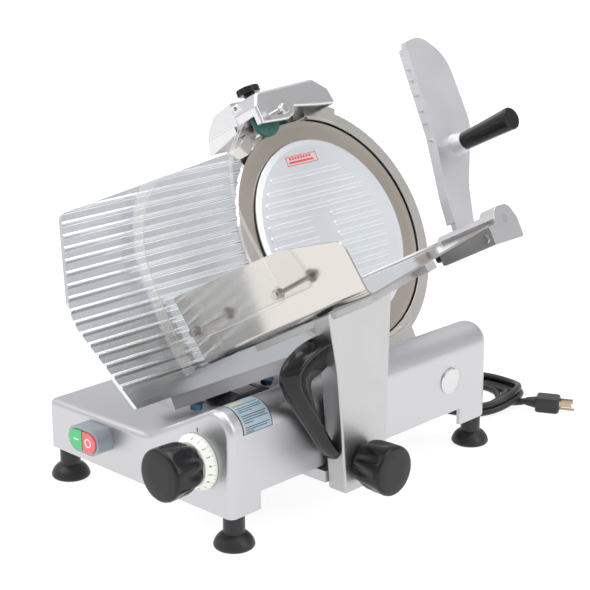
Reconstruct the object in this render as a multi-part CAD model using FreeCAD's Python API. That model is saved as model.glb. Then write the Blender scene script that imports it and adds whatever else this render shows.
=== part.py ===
import FreeCAD, Part
import math
import os

from FreeCAD import Vector, Rotation, Placement

# Gravity-feed deli slicer, millimetres, +Z up, floor at Z = 0.
# The operator stands on the -Y side; the meat carriage runs along Y on the +X side.
#
# Most parts are laid out in "machine" axes whose origin is the front right foot.  The blade,
# gauge plate, cover and sharpener are laid out in "tilted" axes (k, y, s): k runs out of the
# blade's face, y is the machine's Y and s runs up the blade.  The tray adds "tray" axes
# (k, p, q): p runs across its floor and q up its front wall.  ORIGIN_X and ORIGIN_Y finally
# move everything so that the origin is under the middle of the machine.

os.makedirs("parts", exist_ok=True)

# ---- driving dimensions -------------------------------------------------------------------
ORIGIN_X = 132.85
ORIGIN_Y = -233.75

TILT = 29.0                      # the blade leans back this far from vertical
BLADE_D = 304.8                  # 12 inch knife
BLADE_K, BLADE_Y, BLADE_S = -51.0, 375.0, 321.0    # centre of the knife's front plane

BASE_X0, BASE_X1 = -302.0, 17.0
BASE_Y0, BASE_Y1 = -20.0, 440.0
BASE_Z0 = 42.0
FRONT_R, BACK_R = 8.0, 20.0      # rounding of the front and back ends
WALL = 5.0
DECK_Z = 105.0                   # low deck on the left
HUMP_Z = 182.0                   # where the hump's slope would meet the right side
SKIRT_Z = 64.0                   # raised hem on the right, the carriage foot passes under it
SKIRT_Y0, SKIRT_Y1 = 26.0, 380.0

FEET = [(0.0, 0.0), (-288.0, -1.0), (-2.0, 427.0), (-288.0, 427.0)]
FOOT_R = 23.8
FOOT_POST_R = 12.5

DIAL_X, DIAL_Z = -36.0, 98.0
DIAL_R = 33.0
INDEX_KNOB_R = 31.0
INDEX_TURN = 300.0               # degrees of dial turn for the whole slice range
GAUGE_TRAVEL = 16.0              # horizontal travel of the gauge plate
CAM_R0 = 8.5                     # smallest radius of the index cam
FOLLOWER_GAP = 1.4

SWITCH_X, SWITCH_Z = -210.0, 80.0
SWITCH_W, SWITCH_H, SWITCH_OUT = 55.0, 32.0, 24.0

RAIL_X, RAIL_Z, RAIL_R = -8.0, 65.0, 9.0
GUIDE_X, GUIDE_Z = -75.0, 60.0
GAUGE_ROD_Y, GAUGE_ROD_Z, GAUGE_ROD_R = 140.0, 80.0, 8.0

ARM_X0, ARM_X1 = 22.0, 50.0
CLAMP_Y, CLAMP_Z, CLAMP_KNOB_R = 160.0, 70.0, 30.0

TRAY_Y, TRAY_S = 93.0, 203.0     # outer corner of the tray's bend
TRAY_LEAN = 9.0
TRAY_K0, TRAY_K1 = -45.0, 245.0
TRAY_DEPTH, TRAY_T = 236.0, 2.5
STUD_K, STUD_Q = (0.0, 152.0), 46.0                # the guard's two studs
NUT_P = 27.8                     # inner end of the guard's nuts

PUSH_Y, PUSH_S, PUSH_ROD_R = 347.0, 242.5, 6.0
PUSH_K0, PUSH_K1 = 147.0, 222.0  # the pusher's barrel
PLATE_K0, PLATE_K1 = 166.0, 174.0
BLOCK_K0, BLOCK_K1 = 226.0, 250.0
GRIP_Y, GRIP_S = 405.0, 353.0
SPIKE_S = (458.0, 444.0, 425.0, 404.5, 388.0, 367.0)

RING_IN, RING_OUT = 154.5, 171.0
RING_START, RING_SWEEP = -112.0, 240.0
PAD_R, PAD_START, PAD_SWEEP = 178.0, 62.0, 19.0
WEB_K0, WEB_K1 = -76.0, -69.0
COVER_R = 126.0                  # the round plate over the knife
MOTOR_Y, MOTOR_S, MOTOR_R = 432.0, 345.0, 50.0
MOTOR_K0, MOTOR_K1 = -206.0, -144.0
PULLEY_R, MOTOR_PULLEY_R = 38.0, 14.0
BELT_K0, BELT_K1 = -136.0, -120.0
HOUSING_K0 = -218.0              # back of the cover over the belt and motor

POST_K, POST_Y = -86.0, 356.0    # the sharpener's post
STONE_Y, STONE_S, STONE_R = 323.0, 482.0, 23.0
BACK_STONE_Y, BACK_STONE_S, BACK_STONE_R = 378.0, 483.0, 15.0

CORD_R = 4.5
CORD_X, CORD_Z = -186.0, 56.0
CORD_ROUTE = [(-186, 453, 56), (-186, 480, 55), (-184, 505, 38), (-180, 528, 20),
              (-172, 550, 14), (-159, 571.6, 13.7)]
COIL_X, COIL_Y = -97.0, 548.0
COIL_IN, COIL_OUT, COIL_H = 44.0, 78.0, 19.0
PLUG_AT = Vector(-20.5, 572.7, 11.0)
PLUG_TURN = 27.0                 # degrees from +X towards +Y

RUN = 0.05                       # radial running clearance of shafts and bushes
X, Y, Z = Vector(1, 0, 0), Vector(0, 1, 0), Vector(0, 0, 1)


# ---- helpers ------------------------------------------------------------------------------
def box(x0, x1, y0, y1, z0, z1):
    return Part.makeBox(x1 - x0, y1 - y0, z1 - z0, Vector(x0, y0, z0))


def rod(start, direction, radius, length):
    return Part.makeCylinder(radius, length, start, direction)


def pipe(start, direction, outer, inner, length):
    return rod(start, direction, outer, length).cut(rod(start, direction, inner, length))


def cone(start, direction, r0, r1, length):
    return Part.makeCone(r0, r1, length, start, direction)


def outline(corners, lift):
    """A closed wire through (a, b, radius) corners; lift turns (a, b) into a Vector."""
    count = len(corners)
    flat = [Vector(c[0], c[1], 0) for c in corners]
    runs = []
    for i, corner in enumerate(corners):
        here = flat[i]
        back = (flat[i - 1] - here).normalize()
        ahead = (flat[(i + 1) % count] - here).normalize()
        radius = corner[2] if len(corner) > 2 else 0.0
        half = back.getAngle(ahead) / 2
        if radius <= 0:
            runs.append((here, None, here))
            continue
        reach = radius / math.tan(half)
        middle = (back + ahead).normalize()
        bulge = here + middle * (radius / math.sin(half) - radius)
        runs.append((here + back * reach, bulge, here + ahead * reach))
    edges = []
    for i, (start, bulge, end) in enumerate(runs):
        if bulge is not None:
            points = [lift(p.x, p.y) for p in (start, bulge, end)]
            edges.append(Part.Arc(*points).toShape())
        following = runs[(i + 1) % count][0]
        if end.distanceToPoint(following) > 1e-6:
            edges.append(Part.LineSegment(lift(end.x, end.y),
                                          lift(following.x, following.y)).toShape())
    return Part.Wire(edges)


def slab(corners, axis, low, high):
    """A rounded polygon, drawn across one axis, extruded from low to high along it."""
    lifts = {"x": lambda a, b: Vector(low, a, b),
             "y": lambda a, b: Vector(a, low, b),
             "z": lambda a, b: Vector(a, b, low)}
    way = {"x": X, "y": Y, "z": Z}[axis]
    return Part.Face(outline(corners, lifts[axis])).extrude(way * (high - low))


def turned(profile, start, direction):
    """Revolve a (radius, height) polygon about Z, then stand it at start along direction."""
    wire = outline(profile, lambda a, b: Vector(a, 0, b))
    shape = Part.Face(wire).revolve(Vector(0, 0, 0), Z, 360)
    shape.Placement = Placement(start, Rotation(Z, direction))
    return shape


def scalloped(radius, waist, height, flutes, flute_r, start, direction):
    """A hand knob: a rounded drum whose side is scooped out by tapering flutes."""
    drum = turned([(0, 0), (waist, 0, 2), (radius, height * 0.5, 12), (radius, height, 2.5),
                   (0, height)], Vector(0, 0, 0), Z)
    for i in range(flutes):
        angle = 2 * math.pi * i / flutes
        out = Vector(math.cos(angle), math.sin(angle), 0)
        drum = drum.cut(cone(out * (radius + flute_r * 0.35), Z, flute_r,
                             flute_r * 0.45, height * 0.86))
    drum.Placement = Placement(start, Rotation(Z, direction))
    return drum


def hexagon(across, start, direction, length):
    reach = across / math.sqrt(3)
    corners = [(reach * math.cos(math.pi * i / 3), reach * math.sin(math.pi * i / 3))
               for i in range(6)]
    shape = slab(corners, "z", 0, length)
    shape.Placement = Placement(start, Rotation(Z, direction))
    return shape


def shifted(points, offset):
    """(y, s) points moved sideways, square to the curve through them, as Vectors."""
    vectors = [Vector(0, p[0], p[1]) for p in points]
    moved = []
    for i, here in enumerate(vectors):
        along = vectors[min(i + 1, len(vectors) - 1)] - vectors[max(i - 1, 0)]
        moved.append(here + Vector(0, -along.z, along.y).normalize() * offset)
    return moved


def ribbon(points, start, end):
    """A face between two smooth copies of the curve through (y, s) points, each moved sideways."""
    vectors, moved = shifted(points, start), shifted(points, end)
    near, far = Part.BSplineCurve(), Part.BSplineCurve()
    near.interpolate(vectors)
    far.interpolate(moved)
    edges = [near.toShape(), Part.LineSegment(vectors[-1], moved[-1]).toShape(),
             far.toShape(), Part.LineSegment(moved[0], vectors[0]).toShape()]
    return Part.Face(Part.Wire(Part.__sortEdges__(edges)))


def tilted(shape):
    copy = shape.copy()
    copy.rotate(Vector(0, 0, 0), Y, -TILT)
    return copy


def leaned(shape):
    """From tray axes to tilted axes."""
    copy = shape.copy()
    copy.rotate(Vector(0, 0, 0), X, TRAY_LEAN)
    copy.translate(Vector(0, TRAY_Y, TRAY_S))
    return copy


def on_tray(shape):
    return tilted(leaned(shape))


def joined(*shapes):
    whole = shapes[0].multiFuse(list(shapes[1:])) if len(shapes) > 1 else shapes[0]
    return whole.removeSplitter()


def save(node, *shapes):
    shape = shapes[0] if len(shapes) == 1 else Part.makeCompound(list(shapes))
    shape = shape.copy()
    shape.translate(Vector(ORIGIN_X, ORIGIN_Y, 0))
    solids = shape.Solids
    if not solids or not shape.isValid():
        print("CHECK", node, "solids", len(solids), "valid", shape.isValid())
    shape.exportStep("parts/" + node + ".step")
    EXTENT.append((node, shape.BoundBox, len(solids)))


EXTENT = []


# ---- base ---------------------------------------------------------------------------------
def base_body(inset):
    """A low deck on the left and a rounded hump on the right, shrunk by inset; open below."""
    low, front, back = BASE_Z0 - inset, BASE_Y0 + inset, BASE_Y1 - inset
    left, right = BASE_X0 + inset, BASE_X1 - inset
    section = [(left, low), (left, DECK_Z - 1 - inset),
               (-122 + inset * 0.3, DECK_Z + 1.5 - inset, 35 + inset),
               (right, HUMP_Z - inset * 1.7, 26.3 - inset), (right, low)]
    body = slab(section, "y", front, back)
    edges = [e for e in body.Edges if e.BoundBox.ZMax > BASE_Z0 + 5 and
             (e.BoundBox.YMax < front + 0.1 or
              (e.BoundBox.XMax < left + 0.1 and e.BoundBox.YLength > 100))]
    body = body.makeFillet(FRONT_R - inset, edges)
    edges = [e for e in body.Edges if e.BoundBox.ZMax > BASE_Z0 + 5 and
             e.BoundBox.YMin > back - 0.1]
    return body.makeFillet(BACK_R - inset, edges)


def make_base():
    outer = base_body(0.0)
    shell = outer.cut(base_body(WALL))
    lugs = rail_lugs() + gauge_rod_lugs()
    lugs += [rod(Vector(x, y, BASE_Z0), Z, 14.5, 16) for x, y in FEET]
    lugs += [rod(Vector(DIAL_X, BASE_Y0, DIAL_Z), Y, 13, 18)]
    shell = shell.fuse([lug.common(base_body(0.6)) for lug in lugs])
    shell = shell.cut(rail_solid()).cut(guide_solid()).cut(gauge_rod_solid())
    shell = shell.cut(box(BASE_X1 - WALL - 4, BASE_X1 + 5, SKIRT_Y0, SKIRT_Y1,
                          BASE_Z0 - 5, SKIRT_Z))
    shell = shell.cut(rod(Vector(DIAL_X, BASE_Y0 - 1, DIAL_Z), Y, 6.0 + RUN, 40))
    shell = shell.cut(stadium(SWITCH_W - 15, SWITCH_H - 12, BASE_Y0 - 1, BASE_Y0 + 9))
    shell = shell.cut(box(-167, -114, 118, 162, DECK_Z - 12, DECK_Z + 12))
    shell = shell.cut(rod(Vector(CORD_X, BASE_Y1 - 9, CORD_Z), Y, 8.0, 12))
    save("base_housing", shell.removeSplitter())
    return outer


def stadium(width, height, y0, y1):
    half_w, half_h = width / 2, height / 2
    corners = [(SWITCH_X - half_w, SWITCH_Z - half_h, half_h - 0.01),
               (SWITCH_X + half_w, SWITCH_Z - half_h, half_h - 0.01),
               (SWITCH_X + half_w, SWITCH_Z + half_h, half_h - 0.01),
               (SWITCH_X - half_w, SWITCH_Z + half_h, half_h - 0.01)]
    return slab(corners, "y", y0, y1)


def make_bottom():
    plate = box(BASE_X0 + 6, -92, BASE_Y0 + 6, BASE_Y1 - 6, BASE_Z0 + 3, BASE_Z0 + 5)
    plate = plate.common(base_body(WALL))
    for x, y in FEET:
        plate = plate.cut(rod(Vector(x, y, BASE_Z0), Z, 14.8, 20))
    save("bottom_plate", plate)


def make_feet():
    feet = []
    for x, y in FEET:
        outline_edges = [
            Part.LineSegment(Vector(0, 0, BASE_Z0), Vector(0, 0, 0)).toShape(),
            Part.LineSegment(Vector(0, 0, 0), Vector(20, 0, 0)).toShape(),
            Part.Arc(Vector(20, 0, 0), Vector(22.62, 0, 1.05), Vector(FOOT_R, 0, 4)).toShape(),
            Part.Arc(Vector(FOOT_R, 0, 4), Vector(20.5, 0, 11.5),
                     Vector(FOOT_POST_R, 0, 18)).toShape(),
            Part.LineSegment(Vector(FOOT_POST_R, 0, 18),
                             Vector(FOOT_POST_R, 0, BASE_Z0)).toShape(),
            Part.LineSegment(Vector(FOOT_POST_R, 0, BASE_Z0), Vector(0, 0, BASE_Z0)).toShape()]
        foot = Part.Face(Part.Wire(outline_edges)).revolve(Vector(0, 0, 0), Z, 360)
        foot.translate(Vector(x, y, 0))
        feet.append(foot)
    save("feet", *feet)


def rail_lugs():
    """Cast lugs inside the end walls that hold the carriage rail and the guide bar."""
    return [joined(box(RAIL_X - 14, RAIL_X + 16, y0, y1, 49, 81),
                   box(GUIDE_X - 10, RAIL_X - 14, y0, y1, 50, 72))
            for y0, y1 in ((BASE_Y0, 3.0), (418.0, BASE_Y1))]


def rail_solid():
    return rod(Vector(RAIL_X, BASE_Y0 + WALL, RAIL_Z), Y, RAIL_R, BASE_Y1 - BASE_Y0 - 2 * WALL)


def guide_solid():
    return box(GUIDE_X - 5, GUIDE_X + 5, BASE_Y0 + WALL, BASE_Y1 - WALL,
               GUIDE_Z - 5, GUIDE_Z + 5)


def gauge_rod_lugs():
    """Lugs hanging from the deck; the inner one is notched for the cam follower."""
    left = box(-232, -218, 126, 154, 68, 125)
    right = box(-106, -92, 126, 154, 68, 125).cut(box(-120, -80, 132, 148, 90, 107))
    return [left, right]


def gauge_rod_solid():
    return rod(Vector(-234, GAUGE_ROD_Y, GAUGE_ROD_Z), X, GAUGE_ROD_R, 143)


def make_rails():
    save("carriage_rail", rail_solid())
    save("guide_bar", guide_solid())
    save("gauge_rod", gauge_rod_solid())


# ---- index dial, cam and gauge plate ------------------------------------------------------
def make_index():
    front = BASE_Y0 - 0.5
    dial = turned([(9, 0), (DIAL_R, 0), (DIAL_R, 3, 1), (26, 12, 2), (9, 12)],
                  Vector(DIAL_X, front, DIAL_Z), -Y)
    save("index_dial", dial)
    knob = scalloped(INDEX_KNOB_R, 23, 46, 8, 7, Vector(DIAL_X, front - 12, DIAL_Z), -Y)
    knob = knob.cut(rod(Vector(DIAL_X, front - 1, DIAL_Z), -Y, 6.0, 34))
    save("index_knob", knob)
    shaft = rod(Vector(DIAL_X, front - 34, DIAL_Z), Y, 6.0, 192)
    collar = pipe(Vector(DIAL_X, BASE_Y0 - 0.5, DIAL_Z), -Y, 9.0, 5.9, 12)
    steps = 30
    points = []
    for i in range(steps + 1):
        share = i / steps
        angle = math.radians(INDEX_TURN * share)
        radius = CAM_R0 + GAUGE_TRAVEL * share
        points.append(Vector(DIAL_X - radius * math.cos(angle), GAUGE_ROD_Y - 6,
                             DIAL_Z - radius * math.sin(angle)))
    spiral = Part.BSplineCurve()
    spiral.interpolate(points)
    closing = Part.LineSegment(points[-1], points[0]).toShape()
    cam = Part.Face(Part.Wire([spiral.toShape(), closing])).extrude(Y * 12)
    save("index_shaft", joined(shaft, collar, cam))


def gauge_outline():
    """Gauge plate seen square on: (y, s) corners; its rear edge is hollowed for the knife."""
    return [(-20, 183, 3), (-66, 303, 60), (-27, 424, 10), (300, 456.5, 3), (330, 440),
            (330, 183)]


def make_gauge():
    k_front = BLADE_K - 1.5
    pitch, ridge = 14.2, 2.4
    zigzag = [(k_front - 8, 180), (k_front - ridge, 180)]
    s = 201.0
    while s < 462:
        zigzag += [(k_front - ridge, s + pitch * 0.60, 1.5), (k_front, s + pitch * 0.74, 1.0),
                   (k_front, s + pitch * 0.86, 1.0), (k_front - ridge, s + pitch, 1.5)]
        s += pitch
    zigzag += [(k_front - ridge, s + 10), (k_front - 8, s + 10)]
    ribbed = slab(zigzag, "y", -80, 335)
    face = slab(gauge_outline(), "x", k_front - 12, k_front + 4)
    plate = ribbed.common(face)
    hollow = rod(Vector(k_front - 20, BLADE_Y, BLADE_S), X, BLADE_D / 2 + 2.2, 40)
    plate = plate.cut(hollow)
    for lift in (0.0, -5.0, -10.0):
        keep_off = sector(RING_IN - 6, RING_OUT + 30, -100, -30, RING_START - 2, RING_SWEEP + 4)
        keep_off.translate(Vector(0, 0, lift))
        plate = plate.cut(keep_off)
    save("gauge_plate", tilted(plate))
    behind = tilted(box(-400, k_front - 8.02, -100, 400, 100, 500))
    bar = slab([(-168, 117, 1), (-124, 117, 2), (-124, 133, 2), (-132, 146), (-168, 146)],
               "y", 36, 236)
    bar = bar.common(behind)
    bar = bar.cut(tilted(rod(Vector(k_front - 60, BLADE_Y, BLADE_S), X, BLADE_D / 2 + 2.2, 100)))
    save("gauge_bar", bar)
    bolts = []
    for y in (70, 188):
        start = Vector(-135, y, 117)
        bolts.append(joined(rod(start, -Z, 9, 1.6), hexagon(13, start - Z * 1.6, -Z, 6)))
    save("gauge_bolts", *bolts)
    post = joined(box(-148, -118, 125, 155, 66, 117), box(-119, DIAL_X - CAM_R0 - FOLLOWER_GAP,
                                                      134, 146, DIAL_Z - 6, DIAL_Z + 4))
    post = post.cut(rod(Vector(-160, GAUGE_ROD_Y, GAUGE_ROD_Z), X, GAUGE_ROD_R + RUN, 60))
    save("gauge_post", post.common(box(-300, 100, 0, 300, 60, 117)))
    skirt = Part.makeLoft([outline([(-158, 98), (-112, 98), (-112, 182), (-158, 182)],
                                   lambda a, b: Vector(a, b, DECK_Z + 3.2)),
                           outline([(-150, 118), (-116, 118), (-116, 162), (-150, 162)],
                                   lambda a, b: Vector(a, b, DECK_Z + 10.5))], True)
    skirt = skirt.cut(box(-148.2, -117.8, 124.8, 155.2, 90, 130))
    save("gauge_boot", skirt.cut(base_body(-1.2)))


# ---- switch -------------------------------------------------------------------------------
def make_switch():
    face = BASE_Y0
    bezel = stadium(SWITCH_W, SWITCH_H, face - SWITCH_OUT + 2, face)
    bezel = bezel.cut(stadium(SWITCH_W - 7, SWITCH_H - 7, face - SWITCH_OUT, face - 4))
    bezel = bezel.cut(stadium(SWITCH_W - 17, SWITCH_H - 14, face - 8, face + 1))
    save("switch_bezel", bezel)
    cap = stadium(SWITCH_W - 7.8, SWITCH_H - 7.8, face - SWITCH_OUT, face - 9)
    gap = 1.6
    left = cap.common(box(SWITCH_X - 60, SWITCH_X - gap / 2, -80, 0, 0, 200))
    right = cap.common(box(SWITCH_X + gap / 2, SWITCH_X + 60, -80, 0, 0, 200))
    for side, name, shape in ((-1, "start_button", left), (1, "stop_button", right)):
        stem = rod(Vector(SWITCH_X + side * 11, face - 10, SWITCH_Z), Y, 3.5, 20)
        save(name, joined(shape, stem))
    block = box(SWITCH_X - 24, SWITCH_X + 24, face + WALL, face + 40, 62, 96)
    for side in (-1, 1):
        block = block.cut(rod(Vector(SWITCH_X + side * 11, face, SWITCH_Z), Y, 4.2, 20))
    save("switch_block", block)


# ---- blade, its support casting, drive and cover ------------------------------------------
def centred(profile):
    """Revolve (radius, k) about the knife's axis."""
    return tilted(turned(profile, Vector(0, BLADE_Y, BLADE_S), X))


def sector(r_in, r_out, k0, k1, start, sweep):
    shape = Part.makeCylinder(r_out, k1 - k0, Vector(0, 0, 0), Z, sweep)
    if r_in > 0:
        shape = shape.cut(rod(Vector(0, 0, -1), Z, r_in, k1 - k0 + 2))
    shape.rotate(Vector(0, 0, 0), Z, start)
    shape.Placement = Placement(Vector(k0, BLADE_Y, BLADE_S),
                                Rotation(Y, Z, X, "ZXY")).multiply(shape.Placement)
    return shape


def make_support(base_outer):
    ring = sector(RING_IN, RING_OUT, WEB_K0, -48, RING_START, RING_SWEEP)
    ring = ring.cut(box(-200, 0, 293, 404, 420, 560))
    web = sector(0, RING_IN + 1, WEB_K0, WEB_K1, RING_START, RING_SWEEP)
    web = web.cut(box(-200, 0, 290, 404, 452, 560))
    pad = sector(RING_IN + 3, PAD_R, -74, -47, PAD_START, PAD_SWEEP)
    boss = rod(Vector(-112, BLADE_Y, BLADE_S), X, 34, 112 + WEB_K1)
    arm = box(-98, WEB_K0 + 1, 340, 372, 396, 470)
    foot = box(-118, -30, 240, 432, 88, 180).cut(rod(Vector(WEB_K1, BLADE_Y, BLADE_S), X,
                                                    RING_IN + 4, 200))
    pillars = [rod(Vector(MOTOR_K1, MOTOR_Y + 40 * math.cos(turn), MOTOR_S + 40 * math.sin(turn)),
                   X, 6, WEB_K0 - MOTOR_K1 + 1)
               for turn in (math.radians(a) for a in (23, 133, -87))]
    whole = joined(ring, web, pad, boss, arm, foot, *pillars)
    whole = whole.cut(rod(Vector(-130, BLADE_Y, BLADE_S), X, 26, 100))
    whole = whole.cut(rod(Vector(POST_K, POST_Y, 380), Z, 6 + RUN, 100))
    whole = tilted(whole).cut(base_outer).cut(box(-400, 100, 0, 600, 0, BASE_Z0 + 60))
    save("blade_support", whole)


def make_blade():
    c = BLADE_K
    edge = BLADE_D / 2
    knife = centred([(30, c - 5), (112, c - 5), (118, c - 2.4, 3), (145, c - 1.0), (edge, c),
                     (edge, c - 0.4), (144, c - 5), (116, c - 6.5, 2), (108, c - 9, 2),
                     (30, c - 9)])
    hub_spots = [(24 * math.cos(math.pi * i / 2 + 0.785), 24 * math.sin(math.pi * i / 2 + 0.785))
                 for i in range(4)]
    screws = []
    ring_spots = [(38 * a / 24, 38 * b / 24) for a, b in hub_spots]
    for dy, ds in ring_spots:
        at = Vector(c - 5, BLADE_Y + dy, BLADE_S + ds)
        knife = knife.cut(tilted(rod(at - X * 5, X, 3.05, 6)))
        screws.append(tilted(joined(rod(at, X, 5, 2.4), rod(at - X * 9.5, X, 3, 9.5))))
    save("blade", knife)
    save("blade_screws", *screws)
    shaft = centred([(6.5, BELT_K0), (12.5, BELT_K0), (12.5, c - 15.5), (46, c - 15.5, 1),
                     (46, c - 9.02), (29.9, c - 9.02), (29.9, c - 5), (6.5, c - 5)])
    for dy, ds in ring_spots:
        shaft = shaft.cut(tilted(rod(Vector(c - 16, BLADE_Y + dy, BLADE_S + ds), X, 3.05, 8)))
    save("blade_shaft", shaft)
    save("blade_bearings", *[centred([(12.5 + RUN, k), (26, k), (26, k + 15),
                                      (12.5 + RUN, k + 15)]) for k in (-84.5, -112)])
    rows = [(12.5, BELT_K0)]
    for i in range(4):
        k = BELT_K0 + 1 + 3.6 * i
        rows += [(PULLEY_R, k), (PULLEY_R - 2, k + 1.8)]
    rows += [(PULLEY_R, BELT_K1 - 0.4), (12.5, BELT_K1 - 0.4)]
    save("blade_pulley", centred(rows))
    shift = Vector(0, MOTOR_Y - BLADE_Y, MOTOR_S - BLADE_S)
    small = turned([(0, -160), (5, -160), (5, BELT_K0), (MOTOR_PULLEY_R, BELT_K0),
                    (MOTOR_PULLEY_R, BELT_K1 - 0.4), (0, BELT_K1 - 0.4)],
                   Vector(0, MOTOR_Y, MOTOR_S), X)
    save("motor_pulley", tilted(small))
    motor = joined(rod(Vector(MOTOR_K0, MOTOR_Y, MOTOR_S), X, MOTOR_R, MOTOR_K1 - MOTOR_K0),
                   rod(Vector(MOTOR_K1, MOTOR_Y, MOTOR_S), X, 20, 4))
    save("motor", tilted(motor.cut(rod(Vector(-165, MOTOR_Y, MOTOR_S), X, 5 + RUN, 40))))
    span = shift.Length
    lean = math.degrees(math.atan2(shift.z, shift.y))
    big, little = PULLEY_R + 0.3, MOTOR_PULLEY_R + 0.3
    save("drive_belt", tilted(belt(big, little, span, lean)))
    return lean


def belt_loop(big, little, span, k0, k1):
    """Solid hull of two discs, laid along +Y from the knife's axis."""
    slope = math.asin((big - little) / span)
    up = (math.sin(slope), math.cos(slope))
    corners = []
    for centre, radius in ((0.0, big), (span, little)):
        corners.append((centre + radius * up[0], radius * up[1]))
        corners.append((centre + radius * up[0], -radius * up[1]))
    first, second, third, fourth = corners
    strip = slab([first, third, fourth, second], "x", k0, k1)
    return joined(strip, rod(Vector(k0, 0, 0), X, big, k1 - k0),
                  rod(Vector(k0, span, 0), X, little, k1 - k0))


def belt(big, little, span, lean):
    loop = belt_loop(big + 3, little + 3, span, BELT_K0 + 0.5, BELT_K1 - 0.9)
    loop = loop.cut(belt_loop(big, little, span, BELT_K0 - 1, BELT_K1 + 1))
    loop.rotate(Vector(0, 0, 0), X, lean)
    loop.translate(Vector(0, BLADE_Y, BLADE_S))
    return loop


def make_drive_cover(lean):
    span = math.hypot(MOTOR_Y - BLADE_Y, MOTOR_S - BLADE_S)
    outer = belt_loop(58, MOTOR_R + 8, span, HOUSING_K0, WEB_K0)
    outer = outer.makeFillet(8, [e for e in outer.Edges if e.BoundBox.XMax < HOUSING_K0 + 1])
    inner = belt_loop(55, MOTOR_R + 5, span, HOUSING_K0 + 3, WEB_K0 + 1)
    shell = outer.cut(inner)
    for i in range(-3, 4):
        shell = shell.cut(box(HOUSING_K0 - 2, HOUSING_K0 + 8, span - 12, span + 34,
                              i * 11 - 2, i * 11 + 2))
    shell = shell.cut(rod(Vector(HOUSING_K0 - 9, 0, 0), X, 5.0, 40))
    shell.rotate(Vector(0, 0, 0), X, lean)
    shell.translate(Vector(0, BLADE_Y, BLADE_S))
    save("drive_cover", tilted(shell))
    rod_back = Vector(HOUSING_K0 - 14, BLADE_Y, BLADE_S)
    length = BLADE_K + 1.2 - rod_back.x
    tie = joined(rod(rod_back, X, 5, length), rod(Vector(-56, BLADE_Y, BLADE_S), X, 5.5, 6.2))
    save("cover_rod", tilted(tie))
    knob = scalloped(19, 15, 20, 6, 5, Vector(HOUSING_K0 - 0.4, BLADE_Y, BLADE_S), -X)
    save("cover_knob", tilted(knob.cut(rod(rod_back, X, 5 + RUN, 30))))


def make_cover():
    face = BLADE_K + 3.4
    plate = turned([(0, face - 2.2), (COVER_R - 8, face - 2.2), (COVER_R - 3, face - 3.2),
                    (COVER_R, face - 3.2), (COVER_R, face - 1.4, 0.8), (COVER_R - 8, face, 4),
                    (0, face)], Vector(0, BLADE_Y, BLADE_S), X)
    ribs = []
    for row in range(13):
        ds = 78.5 - 14.2 * row + (0.0 if row else 2.0)
        left = math.sqrt((COVER_R - 15) ** 2 - ds * ds)
        right = math.sqrt((COVER_R - 28) ** 2 - ds * ds)
        spans = [(-left, -28), (6, right)] if 4 <= row <= 6 else [(-left, right)]
        for y0, y1 in spans:
            corners = [(y0, ds - 3.3, 3.2), (y1, ds - 3.3, 3.2), (y1, ds + 3.3, 3.2),
                       (y0, ds + 3.3, 3.2)]
            ridge = slab(corners, "x", face - 0.5, face + 1.6)
            ridge = ridge.makeFillet(1.4, [e for e in ridge.Edges
                                           if e.BoundBox.XMin > face + 1.5])
            ridge.translate(Vector(0, BLADE_Y, BLADE_S))
            ribs.append(ridge)
    save("blade_cover", tilted(joined(plate, *ribs)))


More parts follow.
